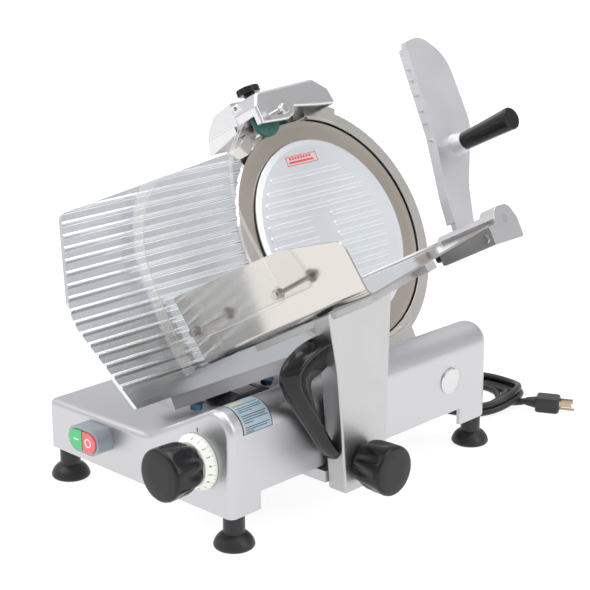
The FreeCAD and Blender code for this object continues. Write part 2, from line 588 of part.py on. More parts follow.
# ---- sharpener ----------------------------------------------------------------------------
def make_sharpener():
    hood_out = [(296, 473, 2), (294, 497, 6), (303, 514, 6), (409, 518.5, 8), (432, 502, 9),
                (437, 480, 3), (407, 482, 20), (361, 487, 2), (357, 477, 2), (345, 472, 2)]
    hood = slab(hood_out, "x", -63, -20)
    hood_in = [(299, 464), (298, 496, 4), (306, 509.5, 4), (407, 514, 6), (428, 499, 6),
               (431, 486), (431, 464)]
    hood = hood.cut(slab(hood_in, "x", -64, -24.5))
    front_edges = [e for e in hood.Edges if e.BoundBox.XMin > -20.1 and e.BoundBox.ZMax > 500]
    hood = hood.makeFillet(3.5, front_edges)
    case = slab([(-133, 469), (-127, 484, 4), (-121, 496, 5), (-101, 511.5, 6), (-62.5, 516.5),
                 (-62.5, 479)], "y", 294, 398)
    case = case.cut(slab([(-140, 460), (-129, 468), (-123, 483, 3), (-117.5, 494, 4),
                          (-99, 507.5, 4), (-50, 512.5), (-50, 460)], "y", 298, 394))
    sleeve = rod(Vector(POST_K, POST_Y, 474), Z, 11, 47)
    rear = rod(Vector(-134, BACK_STONE_Y, BACK_STONE_S), X, 9, 46)
    front = rod(Vector(-34, STONE_Y, STONE_S), X, 9, 12)
    body = joined(hood, case, sleeve, rear, front)
    body = body.cut(box(-70, -30, 290, 300, 460, 486))
    body = body.cut(rod(Vector(POST_K, POST_Y, 400), Z, 6, 200))
    body = body.cut(rod(Vector(-60, STONE_Y, STONE_S), X, 4 + RUN, 60))
    body = body.cut(rod(Vector(-150, BACK_STONE_Y, BACK_STONE_S), X, 4 + RUN, 80))
    body = body.cut(rod(Vector(-79, BLADE_Y, BLADE_S), X, RING_OUT + 1, 33))
    body = body.cut(sector(0, PAD_R + 1, -76, -46, PAD_START - 2, PAD_SWEEP + 4))
    save("sharpener_body", tilted(body))
    save("sharpener_post", tilted(rod(Vector(POST_K, POST_Y, 398), Z, 6, 137)))
    knob = turned([(0, 0), (8, 0), (8, 7), (16, 8, 1), (16, 17, 2), (0, 17)],
                  Vector(0, 0, 0), Z)
    for i in range(7):
        out = Vector(math.cos(2 * math.pi * i / 7), math.sin(2 * math.pi * i / 7), 0)
        knob = knob.cut(rod(out * 18.5 + Z * 7.5, Z, 4.5, 10))
    knob.translate(Vector(POST_K, POST_Y, 522))
    save("sharpener_knob", tilted(knob.cut(rod(Vector(POST_K, POST_Y, 515), Z, 6 + RUN, 22))))
    stones = {"front": (STONE_Y, STONE_S, -46.0, 1, STONE_R),
              "back": (BACK_STONE_Y, BACK_STONE_S, -60.0, -1, BACK_STONE_R)}
    for name, (y, s, k, way, radius) in stones.items():
        at = Vector(k, y, s)
        out = X * way
        wheel = turned([(4 + RUN, 0), (radius - 6, 0), (radius, 1.5), (radius, 6, 1),
                        (radius - 8, 8), (4 + RUN, 8)], at, out)
        save("stone_" + name, tilted(wheel))
        reach = 40.0 if way > 0 else 80.0
        pin = joined(rod(at - out * 1.5, out, 4, reach + 1.5),
                     rod(at - out * 3, out, 7, 2.8),
                     rod(at + out * 8.2, out, 7, 2.0))
        head = turned([(0, 0), (6.5, 0, 1), (7.5, 4, 1), (6.5, 8, 1.5), (0, 8)],
                      at + out * (reach - 1), out)
        save("pin_" + name, tilted(joined(pin, head)))


# ---- carriage -----------------------------------------------------------------------------
def make_carriage():
    sleeve = rod(Vector(RAIL_X, 116, RAIL_Z), Y, 14, 88)
    fork = box(GUIDE_X - 12, RAIL_X - 6, 142, 182, 53, 69)
    foot = joined(sleeve, box(RAIL_X - 12, ARM_X0, 126, 192, 44, 58), fork)
    foot = foot.cut(rod(Vector(RAIL_X, 100, RAIL_Z), Y, RAIL_R + RUN, 130))
    foot = foot.cut(box(GUIDE_X - 5.4, GUIDE_X + 5.4, 100, 200, GUIDE_Z - 5.4, GUIDE_Z + 5.4))
    save("carriage_foot", foot)
    under = on_tray(box(-200, 400, -60, 300, 0, 300))
    column = slab([(131, 36, 3), (200, 36, 3), (205, 220), (207, 330), (86, 330), (116, 186, 90),
                   (125, 105, 90)], "x", ARM_X0, ARM_X1)
    column = column.makeFillet(3.0, [e for e in column.Edges
                                     if e.BoundBox.XLength < 0.1 and e.BoundBox.YMax < 135])
    shelf = on_tray(joined(box(30, 232, 14, 112, -8, 0), box(180, 250, 96, 112, -9, 0)))
    shelf = shelf.cut(box(ARM_X1, 400, -100, 193, 0, 600).cut(
        on_tray(box(-100, 400, 14, 300, -20, 20))))
    arm = joined(column.cut(under), shelf)
    arm = arm.cut(rod(Vector(ARM_X0 - 5, CLAMP_Y, CLAMP_Z), X, 5.1, 40))
    save("carriage_arm", arm)
    return arm


def make_handle(arm):
    loop = slab([(120, 230), (84, 233, 14), (38, 208, 9), (49, 176, 30), (108, 82, 12),
                 (133, 70), (133, 92), (118, 104, 25), (103, 152, 25), (76, 194, 7),
                 (112, 199, 4), (124, 199)], "x", 25, 48)
    loop = loop.makeFillet(6.0, [e for e in loop.Edges if e.BoundBox.XLength < 0.1 and
                                 e.BoundBox.YMax < 131 and e.BoundBox.YMin < 112])
    save("carriage_handle", loop.cut(arm))


def make_clamp_knob():
    knob = scalloped(CLAMP_KNOB_R, 22, 46, 8, 7, Vector(ARM_X1 + 3, CLAMP_Y, CLAMP_Z), X)
    save("clamp_knob", joined(knob, rod(Vector(ARM_X1 + 0.3, CLAMP_Y, CLAMP_Z), X, 14, 4),
                              rod(Vector(ARM_X0 + 0.5, CLAMP_Y, CLAMP_Z), X, 5, 30)))


def make_tray():
    outer = slab([(0, 0, 11), (TRAY_DEPTH, 0), (TRAY_DEPTH, TRAY_T), (TRAY_T, TRAY_T, 8.5),
                  (TRAY_T, 95), (0, 95)], "x", TRAY_K0, TRAY_K1)
    trim = slab([(TRAY_K0, -5), (TRAY_K1, -5), (TRAY_K1, 58), (240, 69, 12), (150, 87.5, 120),
                 (TRAY_K0, 91, 3)], "y", -20, TRAY_DEPTH + 10)
    tray = outer.common(trim)
    for k in STUD_K:
        tray = tray.cut(rod(Vector(k, -5, STUD_Q), Y, 3.0, 12))
    strap = joined(box(-44, -36, 298, 330, 226, 243), box(-44, -36, 322, 358, 230, 253))
    strap = strap.cut(leaned(box(-100, 300, 0, TRAY_DEPTH - 0.5, TRAY_T / 2, 50)))
    strap = strap.cut(rod(Vector(-50, PUSH_Y, PUSH_S), X, PUSH_ROD_R, 20))
    save("tray", joined(on_tray(tray), tilted(strap)))


def make_guard():
    curve = [(131, 451), (105, 430), (85, 410), (68.5, 382), (58, 352), (55, 321), (56, 283),
             (59, 245), (61, 228)]
    sheet = ribbon(curve, 0.0, 4.0).extrude(X * 220)
    sheet.translate(Vector(TRAY_K0 + 0.3, 0, 0))
    window = slab([(TRAY_K0, 233), (156, 233, 12), (119, 452), (TRAY_K0, 456)], "y", 0, 200)
    sheet = sheet.common(window)
    flange_curve = curve[:-1] + [(64, 216), (67, 203)]
    flange = ribbon(flange_curve, -12.0, 2.0).extrude(X * 4)
    flange.translate(Vector(TRAY_K0 + 0.3, 0, 0))
    guard = joined(sheet, flange)
    guard = tilted(guard)
    wall = on_tray(box(TRAY_K0 - 5, 400, 0, 300, -50, 93))
    guard = guard.cut(wall)
    studs, nuts = [], []
    for k in STUD_K:
        guard = guard.cut(on_tray(rod(Vector(k, 10, STUD_Q), -Y, 3.3, 60)))
        inside = Vector(k, 2.0 + TRAY_T, STUD_Q)
        studs.append(on_tray(joined(rod(inside, -Y, 2.9, 2.0 + TRAY_T + NUT_P + 5),
                                    rod(inside, -Y, 6, 2.0))))
        outside = Vector(k, -NUT_P, STUD_Q)
        nuts.append(on_tray(pipe(outside, -Y, 8, 2.9, 1.6)))
        cap = joined(hexagon(11, outside - Y * 1.6, -Y, 5), rod(outside - Y * 6, -Y, 4.6, 3.4))
        nuts.append(on_tray(cap.cut(rod(outside, -Y, 2.9, 5))))
    save("guard", guard)
    save("guard_studs", *studs)
    save("guard_nuts", *nuts)
    return guard


# ---- pusher -------------------------------------------------------------------------------
def make_pusher():
    at = Vector(-38, PUSH_Y, PUSH_S)
    save("pusher_rod", tilted(rod(at, X, PUSH_ROD_R, 288)))
    block = slab([(327.5, 216), (368, 216, 4), (368, 240), (360, 259, 12), (334, 259, 12),
                  (327.5, 244)], "x", BLOCK_K0, BLOCK_K1)
    rail = box(163, BLOCK_K1, 314, 328, 216, 246).cut(
        slab([(150, 210), (185, 210), (150, 222)], "y", 300, 340))
    end = joined(block, rail).cut(leaned(box(100, 300, 0, TRAY_DEPTH + 0.4, 0, 60)))
    end = end.cut(rod(Vector(BLOCK_K0 - 5, PUSH_Y, PUSH_S), X, PUSH_ROD_R, 50))
    save("rod_end_block", tilted(end))
    screws = [tilted(rod(Vector(k, 314, 226), -Y, 5.2, 1.6)
                     .cut(box(k - 6, k + 6, 311, 313.2, 225.2, 226.8))) for k in (238.0,)]
    save("rod_screws", *screws)
    save("rod_bumper", tilted(rod(Vector(151, 323, 227), X, 4.5, 12)))
    start = Vector(PUSH_K0, PUSH_Y, PUSH_S)
    length = PUSH_K1 - PUSH_K0
    save("pusher_bush", tilted(pipe(start, X, 8.0, PUSH_ROD_R + RUN, length)))
    sword = slab([(348, 246), (352.5, 291, 60), (371, 372, 60), (381, 492, 6), (412, 497, 30),
                  (446, 466, 50), (444, 376, 60), (398, 300, 40), (379, 246)],
                 "x", PLATE_K0, PLATE_K1)
    rim = slab([(349, 262), (352.5, 291, 60), (371, 372, 60), (380.5, 486, 2), (387, 486, 2),
                (378, 372, 60), (359.5, 291, 60), (356, 262)], "x", PLATE_K0 - 6, PLATE_K1)
    barrel = rod(start, X, 11.0, length)
    boss = cone(Vector(PLATE_K1 - 0.5, GRIP_Y, GRIP_S), X, 15, 11.5, 15)
    plate = joined(sword, rim, barrel, boss)
    plate = plate.cut(rod(start - X * 5, X, 8.0 + RUN, length + 10))
    save("pusher_plate", tilted(plate))
    grip_at = Vector(PLATE_K1 + 14.7, GRIP_Y, GRIP_S)
    grip = turned([(0, 0), (11.2, 0, 1), (12.2, 34, 60), (14, 78, 2.5), (0, 78)],
                  grip_at, X)
    save("pusher_grip", tilted(grip))
    spikes = []
    for s in SPIKE_S:
        y = 371.0 + (s - 372) * 0.083
        base = Vector((PLATE_K0 - 6 + PLATE_K1) / 2, y + 0.4, s)
        way = Vector(0, -0.9965, 0.083)
        spikes.append(tilted(cone(base, way, 1.9, 0.3, 8)))
    save("pusher_spikes", *[spike.cut(tilted(joined(sword, rim))) for spike in spikes])


# ---- trims --------------------------------------------------------------------------------
def make_badges():
    disc = turned([(0, 0), (17, 0), (17, 1.2), (15, 2, 0.8), (0, 2)],
                  Vector(BASE_X1, 358, 107), X)
    save("side_badge", disc)


# ---- mains cord ---------------------------------------------------------------------------
def rounded_path(points):
    """Straight runs joined by tangent arcs; each arc uses 0.45 of its shorter run."""
    edges = []
    radii = []
    last = points[0]
    for i in range(1, len(points) - 1):
        here = points[i]
        back, ahead = points[i - 1] - here, points[i + 1] - here
        reach = 0.45 * min(back.Length, ahead.Length)
        back.normalize()
        ahead.normalize()
        half = back.getAngle(ahead) / 2
        radius = reach * math.tan(half)
        middle = (back + ahead).normalize()
        start, end = here + back * reach, here + ahead * reach
        bulge = here + middle * (radius / math.sin(half) - radius)
        edges.append(Part.LineSegment(last, start).toShape())
        edges.append(Part.Arc(start, bulge, end).toShape())
        radii.append(round(radius, 1))
        last = end
    edges.append(Part.LineSegment(last, points[-1]).toShape())
    return Part.Wire(edges), radii


def make_cord():
    save("cord_gland", turned([(CORD_R + 0.02, -14), (8, -14), (8, 0), (11, 0, 1),
                               (11, 5, 1.5), (8.5, 8), (6.2, 26, 1), (CORD_R + 0.02, 26)],
                              Vector(CORD_X, BASE_Y1, CORD_Z), Y))
    route = [Vector(*p) for p in CORD_ROUTE]
    wire, radii = rounded_path(route)
    start = Part.Wire([Part.Circle(route[0], route[1] - route[0], CORD_R).toShape()])
    tube = wire.makePipeShell([start], True, False)
    expected = math.pi * CORD_R ** 2 * wire.Length
    print("cord radii", radii, "length", round(wire.Length, 1), "volume",
          round(tube.Volume / expected, 4), "valid", tube.isValid())
    save("cord_tube", tube)
    coil = pipe(Vector(COIL_X, COIL_Y, 0.0), Z, COIL_OUT, COIL_IN, COIL_H)
    save("cord_coil", coil)
    out = Vector(math.cos(math.radians(PLUG_TURN)), math.sin(math.radians(PLUG_TURN)), 0)
    side = Vector(-out.y, out.x, 0)
    relief = cone(PLUG_AT, out, 5.5, 8.5, 16)
    body = slab([(14, -12.5, 4), (46, -12.5, 5), (46, 12.5, 5), (14, 12.5, 4)], "z", 0.6, 22)
    body = body.makeFillet(3.0, [e for e in body.Edges if e.BoundBox.ZLength < 0.1])
    body.rotate(Vector(0, 0, 0), Z, PLUG_TURN)
    body.translate(Vector(PLUG_AT.x, PLUG_AT.y, 0))
    save("plug_body", joined(relief, body))
    face = PLUG_AT + out * 46
    prongs = [rod(face - Z * 5.0, out, 2.4, 20)]
    for way in (-1, 1):
        blade = box(0, 17, way * 6.35 - 0.75, way * 6.35 + 0.75, -3.2, 3.2)
        blade.rotate(Vector(0, 0, 0), Z, PLUG_TURN)
        blade.translate(face + Z * 3.5)
        prongs.append(blade)
    save("plug_prongs", *prongs)


def main():
    base_outer = make_base()
    make_bottom()
    make_feet()
    make_rails()
    make_index()
    make_gauge()
    make_switch()
    make_support(base_outer)
    lean = make_blade()
    make_drive_cover(lean)
    make_cover()
    make_sharpener()
    arm = make_carriage()
    make_handle(arm)
    make_clamp_knob()
    make_tray()
    make_guard()
    make_pusher()
    make_badges()
    make_cord()
    total = FreeCAD.BoundBox()
    for node, bounds, count in EXTENT:
        if not node.startswith(("cord_", "plug_")) or node == "cord_gland":
            total.add(bounds)
        if count != 1:
            print(node, "solids", count)
    print("nodes", len(EXTENT), "box", total)


main()
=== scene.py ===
"""Deli meat slicer: the looks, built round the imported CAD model.

Lengths are in metres in the model's own frame, unless a comment says millimetres."""
import math

import bmesh
import bpy
from mathutils import Matrix, Vector
from mathutils.bvhtree import BVHTree


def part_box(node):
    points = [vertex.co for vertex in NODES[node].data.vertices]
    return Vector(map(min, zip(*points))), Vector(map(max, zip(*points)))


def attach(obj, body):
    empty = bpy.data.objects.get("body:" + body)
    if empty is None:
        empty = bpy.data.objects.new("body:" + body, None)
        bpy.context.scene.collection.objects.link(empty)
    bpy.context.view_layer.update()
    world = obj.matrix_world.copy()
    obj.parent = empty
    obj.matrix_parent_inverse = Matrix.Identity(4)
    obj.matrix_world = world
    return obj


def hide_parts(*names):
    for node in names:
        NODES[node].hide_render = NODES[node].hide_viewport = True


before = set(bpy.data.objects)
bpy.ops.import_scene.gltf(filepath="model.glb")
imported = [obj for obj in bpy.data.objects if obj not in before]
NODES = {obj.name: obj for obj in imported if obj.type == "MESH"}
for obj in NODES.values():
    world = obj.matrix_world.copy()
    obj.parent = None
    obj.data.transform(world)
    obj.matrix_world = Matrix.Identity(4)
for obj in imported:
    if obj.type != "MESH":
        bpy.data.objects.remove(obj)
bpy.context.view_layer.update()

SCENE = bpy.context.scene
X, Y, Z = Vector((1, 0, 0)), Vector((0, 1, 0)), Vector((0, 0, 1))
TILT = math.radians(29.0)
N = Vector((math.cos(TILT), 0.0, math.sin(TILT)))      # out of the knife's face
D = Vector((-math.sin(TILT), 0.0, math.cos(TILT)))     # up the knife's face
ORIGIN = Vector((0.13285, -0.23375, 0.0))              # front right foot, on the floor
BLADE_AT = ORIGIN + Vector((0, 0.375, 0)) + 0.321 * D


def put(name, data):
    """Adds an object with this data to the scene."""
    made = bpy.data.objects.new(name, data)
    SCENE.collection.objects.link(made)
    return made


def mesh_data(name, mesh):
    """The smooth-shaded data of a finished bmesh, which is freed."""
    bmesh.ops.recalc_face_normals(mesh, faces=mesh.faces)
    data = bpy.data.meshes.new(name)
    mesh.to_mesh(data)
    mesh.free()
    data.shade_smooth()
    return data


# ---- camera -------------------------------------------------------------------------------
CAMERA_AT = (1.38864, -1.43991, 0.83752)
CAMERA_TURN, CAMERA_PITCH = math.radians(43.91), math.radians(17.31)  # from -Y; above level
CAMERA_SENSOR, CAMERA_LENS = 36.0, 103.73                             # millimetres


def make_camera():
    level = math.cos(CAMERA_PITCH)
    right = Vector((math.cos(CAMERA_TURN), math.sin(CAMERA_TURN), 0))
    back = Vector((math.sin(CAMERA_TURN) * level, -math.cos(CAMERA_TURN) * level,
                   math.sin(CAMERA_PITCH)))
    up = back.cross(right)
    data = bpy.data.cameras.new("camera")
    data.sensor_width = CAMERA_SENSOR
    data.lens = CAMERA_LENS
    data.clip_end = 30.0
    camera = put("camera", data)
    place = Matrix((right, up, back)).transposed().to_4x4()
    place.translation = CAMERA_AT
    camera.matrix_world = place
    SCENE.camera = camera


make_camera()

# ---- mains cord ---------------------------------------------------------------------------
CORD_D = 0.009
COIL_SWEEP, COIL_STEP = 1485, 20       # degrees round the coil, and between two of its points
COIL_START = 159.0                     # where the coil's first point lies, in degrees from +X
TOP_RADIUS, WIDE_RADIUS = 0.0660, 0.0726
TOP_HEIGHT, FLOOR_HEIGHT = 0.0138, 0.0047
TOP_SHARE = 0.75                       # of the first turn, which lies on the others
DRAWN_IN = 0.0094                      # how much smaller each turn on the floor is
HUMP_AT, HUMP_REACH, HUMP_HEIGHT = 18.0, 64.0, 0.0110    # where the end passes below
COIL = Vector((0.03585, 0.31425, 0.0))
ROUTE = [(-0.05315, 0.21925, 0.056), (-0.05315, 0.24625, 0.055), (-0.05115, 0.27125, 0.038),
         (-0.04715, 0.29425, 0.020), (-0.03915, 0.31625, 0.014)]
# The last of the cord crosses the coil's inside and passes under its turns to the plug.
TAIL = [(-0.0040, 0.0443, 0.0047), (0.0179, 0.0384, 0.0047), (0.0333, 0.0201, 0.0047),
        (0.0579, 0.0151, 0.0052), (0.0765, 0.0246, 0.0110)]


def coil_point(swept):
    """A point of the coil after this many degrees: one turn on top, then three on the floor."""
    share = swept / 360.0
    if share < TOP_SHARE:
        radius, height = TOP_RADIUS, TOP_HEIGHT
    elif share < 1.0:
        slide = (share - TOP_SHARE) / (1.0 - TOP_SHARE)
        radius = TOP_RADIUS + (WIDE_RADIUS - TOP_RADIUS) * math.sin(slide * math.pi / 2)
        height = TOP_HEIGHT - (TOP_HEIGHT - FLOOR_HEIGHT) * slide ** 1.5
    else:
        radius, height = WIDE_RADIUS - DRAWN_IN * (share - 1.0), FLOOR_HEIGHT
    angle = COIL_START - swept
    off = (angle - HUMP_AT + 180.0) % 360.0 - 180.0
    if abs(off) < HUMP_REACH:
        height += HUMP_HEIGHT * (0.5 + 0.5 * math.cos(math.pi * off / HUMP_REACH))
    radius += 0.0008 * math.sin(math.radians(2.0 * angle + 40.0 * share))     # a slight wobble
    a = math.radians(angle)
    return COIL + Vector((math.cos(a) * radius, math.sin(a) * radius, height))


def make_cord():
    points = [Vector(p) for p in ROUTE]
    points += [coil_point(s) for s in range(0, COIL_SWEEP, COIL_STEP)]
    points += [COIL + Vector(p) for p in TAIL]
    data = bpy.data.curves.new("power_cord", "CURVE")
    data.dimensions = "3D"
    spline = data.splines.new("NURBS")
    spline.points.add(len(points) - 1)
    for slot, p in zip(spline.points, points):
        slot.co = (*p, 1.0)
        slot.radius = CORD_D / 2
    spline.order_u = 3
    spline.use_endpoint_u = True
    data.resolution_u = 4
    data.bevel_depth = 1.0                 # times each point's own radius
    data.bevel_resolution = 5
    cord = put("power_cord", data)
    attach(cord, "frame")
    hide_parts("cord_tube", "cord_coil")
    return cord


cord = make_cord()


# ---- carriage handle ----------------------------------------------------------------------
# Stations down the handle in the machine's (y, z) millimetres: the outer edge, the edge round
# the finger opening, and how far across from that edge the ridge runs.
HANDLE = [((118, 231), (122, 197), 0.82), ((103, 232), (113, 191), 0.82),
          ((84, 230), (103, 187), 0.80), ((62, 222), (95, 185), 0.76),
          ((46, 211), (90, 183), 0.70), ((40, 196), (88, 179), 0.64),
          ((46, 179), (89, 170), 0.56), ((59, 159), (94, 154), 0.46),
          ((77, 135), (101, 137), 0.38), ((94, 111), (110, 119), 0.32),
          ((107, 92), (118, 105), 0.32), ((119, 80), (125, 98), 0.36),
          ((132, 72), (133, 91), 0.42)]
HANDLE_X0, HANDLE_X1 = 25.5, 47.5      # its inner and outer faces, in millimetres
CREASES = {0: 0.5, 2: 0.75, 5: 0.5}    # how sharp the edges down its length are; 2 is the ridge


def make_handle():
    """A glossy lever whose ridge crosses from its outer edge to its inner one on the way down."""
    mesh = bmesh.new()
    rows = []
    for outer, inner, ridge in HANDLE:
        # corners of one slice: share of the way out to the outer edge, share across in X
        section = ((1.0, 0.10), (1.0, 0.62), (ridge, 1.0), (ridge * 0.62, 0.52),
                   (0.10, 0.34), (0.0, 0.42), (0.0, 0.10))
        row = []
        for share, across in section:
            y, z = (i + (o - i) * share for o, i in zip(outer, inner))
            x = HANDLE_X0 + (HANDLE_X1 - HANDLE_X0) * across
            row.append(mesh.verts.new(ORIGIN + Vector((x, y, z)) / 1000))
        rows.append(row)
    crease = mesh.edges.layers.float.new("crease_edge")
    count = len(rows[0])
    for upper, lower in zip(rows, rows[1:]):
        for i in range(count):
            j = (i + 1) % count
            mesh.faces.new((upper[i], upper[j], lower[j], lower[i]))
            if i in CREASES:
                mesh.edges.get((upper[i], lower[i]))[crease] = CREASES[i]
    mesh.faces.new(rows[0][::-1])
    mesh.faces.new(rows[-1])
    lever = put("handle_lever", mesh_data("handle_lever", mesh))
    smooth = lever.modifiers.new("smooth", "SUBSURF")
    smooth.levels = smooth.render_levels = 2
    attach(lever, "carriage")
    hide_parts("carriage_handle")
    return lever


lever = make_handle()

# ---- fluted knobs -------------------------------------------------------------------------
FLUTES, FLUTE_DEPTH = 8, 0.0050
AROUND = 96                            # points round each ring of a knob
COLLAR = 0.014                         # radius of the plain collar behind it


def make_knob(name, node, body, base, out, radius, waist, foot):
    """A drum that swells from its waist, scooped by eight flutes; it stands for a CAD knob.

    foot is how far its plain collar reaches back from the base."""
    swell = radius - waist
    # rings along the knob: height, radius, and share of the full flute depth
    rows = [(-foot, COLLAR, 0), (0, COLLAR, 0), (0, waist - 0.0015, 0.3), (0.0008, waist, 0.5),
            (0.004, waist + 0.36 * swell, 0.9), (0.009, waist + 0.68 * swell, 1.0),
            (0.015, waist + 0.88 * swell, 0.95), (0.022, radius - 0.0004, 0.75),
            (0.029, radius, 0.5), (0.036, radius, 0.22), (0.0415, radius, 0),
            (0.0442, radius - 0.0006, 0), (0.0455, radius - 0.0018, 0),
            (0.0460, radius - 0.0036, 0), (0.0457, radius * 0.45, 0)]
    side = Z.cross(out)
    points, faces = [], []
    for height, reach, scoop in rows:
        for i in range(AROUND):
            turn = 2 * math.pi * i / AROUND
            cut = scoop * FLUTE_DEPTH * (0.5 + 0.5 * math.cos(FLUTES * turn)) ** 1.4
            way = side * math.cos(turn) + Z * math.sin(turn)
            points.append(base + out * height + way * (reach - cut))
    for row in range(len(rows) - 1):
        for i in range(AROUND):
            j = (i + 1) % AROUND
            low, high = row * AROUND, (row + 1) * AROUND
            faces.append((low + i, low + j, high + j, high + i))
    faces += [tuple(range(AROUND))[::-1], tuple(range((len(rows) - 1) * AROUND, len(points)))]
    mesh = bmesh.new()
    corners = [mesh.verts.new(p) for p in points]
    for face in faces:
        mesh.faces.new([corners[i] for i in face])
    knob = put(name, mesh_data(name, mesh))
    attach(knob, body)
    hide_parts(node)
    return knob


knobs = [make_knob("dial_knob", "index_knob", "index", ORIGIN + Vector((-36, -32.5, 98)) / 1000,
                   -Y, 0.031, 0.0245, 0.0),
         make_knob("clamp_handwheel", "clamp_knob", "clamp_knob",
                   ORIGIN + Vector((53, 160, 70)) / 1000, X, 0.030, 0.0240, 0.0027)]

# ---- floor and light ----------------------------------------------------------------------
def linear(red, green, blue):
    """A colour given as 0 to 255 display values, as the shader wants it."""
    def one(v):
        v /= 255.0
        return v / 12.92 if v <= 0.04045 else ((v + 0.055) / 1.055) ** 2.4
    return (one(red), one(green), one(blue), 1.0)


def fill(node, inputs):
    """Gives inputs of a node a value each, or links them to the output that is given."""
    for name, value in inputs.items():
        if isinstance(value, bpy.types.NodeSocket):
            node.id_data.links.new(value, node.inputs[name])
        else:
            node.inputs[name].default_value = value


def adder(tree):
    """A function that adds nodes to a tree, each with its inputs and its settings."""
    def add(kind, inputs=None, **settings):
        node = tree.nodes.new("ShaderNode" + kind)
        for name, value in settings.items():
            setattr(node, name, value)
        fill(node, inputs or {})
        return node
    return add


def new_material(name):
    """A material, the function that adds to its nodes, and its shader."""
    made = bpy.data.materials.new(name)
    made.use_nodes = True
    return made, adder(made.node_tree), made.node_tree.nodes["Principled BSDF"]


# the height of each band's start, from straight down to straight up, and its level
BANDS = ((0.0, 0.80), (0.50, 0.62), (0.60, 0.92), (0.74, 0.60), (0.88, 1.0))
LEFT_LEVEL, RIGHT_LEVEL = 1.12, 0.78


def make_world():
    """An even white sky, with soft bands by height that only reflections see."""
    world = bpy.data.worlds.new("studio")
    world.use_nodes = True
    world.node_tree.nodes.clear()
    add = adder(world.node_tree)
    way = add("SeparateXYZ", {0: add("TexCoord").outputs["Generated"]})
    height = add("MapRange", {"Value": way.outputs["Z"], "From Min": -1.0})
    ramp = add("ValToRGB", {"Fac": height.outputs["Result"]})
    for at, level in BANDS:
        stop = ramp.color_ramp.elements.new(at)
        stop.color = (level, level, level * 1.02, 1)
    ramp.color_ramp.elements.remove(ramp.color_ramp.elements[-1])
    side = add("MapRange", {"Value": way.outputs["X"], "From Min": -1.0,
                            "To Min": LEFT_LEVEL, "To Max": RIGHT_LEVEL})
    shade = add("Mix", {"Factor": 1.0, 6: ramp.outputs["Color"], 7: side.outputs["Result"]},
                data_type="RGBA", blend_type="MULTIPLY")
    banded = add("Background", {"Color": shade.outputs[2]})
    even = add("Background", {"Color": (1, 1, 1, 1)})
    pick = add("MixShader", {0: add("LightPath").outputs["Is Glossy Ray"],
                             1: even.outputs[0], 2: banded.outputs[0]})
    add("OutputWorld", {"Surface": pick.outputs[0]})
    SCENE.world = world


def make_light(name, at, aim, size, power):
    data = bpy.data.lights.new(name, "AREA")
    data.shape = "RECTANGLE"
    data.size, data.size_y = size
    data.energy = power
    light = put(name, data)
    light.location = at
    light.rotation_euler = (Vector(aim) - Vector(at)).to_track_quat("-Z", "Y").to_euler()


FLOOR_REACH = 6.0
FLOOR_GREY, FLOOR_GLOW = 0.30, 0.84    # it glows, so that only contact shadows show on it


def make_floor():
    mesh = bpy.data.meshes.new("floor")
    mesh.from_pydata([(-FLOOR_REACH, -FLOOR_REACH, 0), (FLOOR_REACH, -FLOOR_REACH, 0),
                      (FLOOR_REACH, FLOOR_REACH, 0), (-FLOOR_REACH, FLOOR_REACH, 0)],
                     [], [(0, 1, 2, 3)])
    floor = put("floor", mesh)
    paper, _, shader = new_material("floor_paper")
    fill(shader, {"Base Color": (FLOOR_GREY, FLOOR_GREY, FLOOR_GREY, 1), "Roughness": 0.9,
                  "Emission Color": (1, 1, 1, 1), "Emission Strength": FLOOR_GLOW})
    mesh.materials.append(paper)


make_world()
make_floor()
make_light("key", (-0.9, -1.5, 1.9), (0, 0, 0.2), (1.6, 1.6), 15)
make_light("top", (0.1, 0.4, 2.2), (0, 0, 0.2), (1.8, 1.4), 20)
make_light("right", (1.9, 0.5, 1.2), (0, 0, 0.25), (0.8, 1.6), 10)
SCENE.view_settings.view_transform = "Standard"


# ---- materials ----------------------------------------------------------------------------
GRAIN_SHARE = 0.35                     # of the grain in the mottling; the rest is cloudy
BUMP_HEIGHT = 0.0004
WEAR_RADIUS = 0.0008                   # how far wear reaches from an edge that isn't rounded


def edge_mask(add, rim, start, full, most=1.0):
    """From 0 on a flat face to most along an edge, where the rounded normal turns away.

    start and full are the cosines of that turn at which the mask begins and is whole."""
    flat = add("NewGeometry").outputs["Normal"]
    turned = add("VectorMath", {0: rim.outputs["Normal"], 1: flat}, operation="DOT_PRODUCT")
    return add("MapRange", {"Value": turned.outputs["Value"], "From Min": start,
                            "From Max": full, "To Max": most}).outputs["Result"]


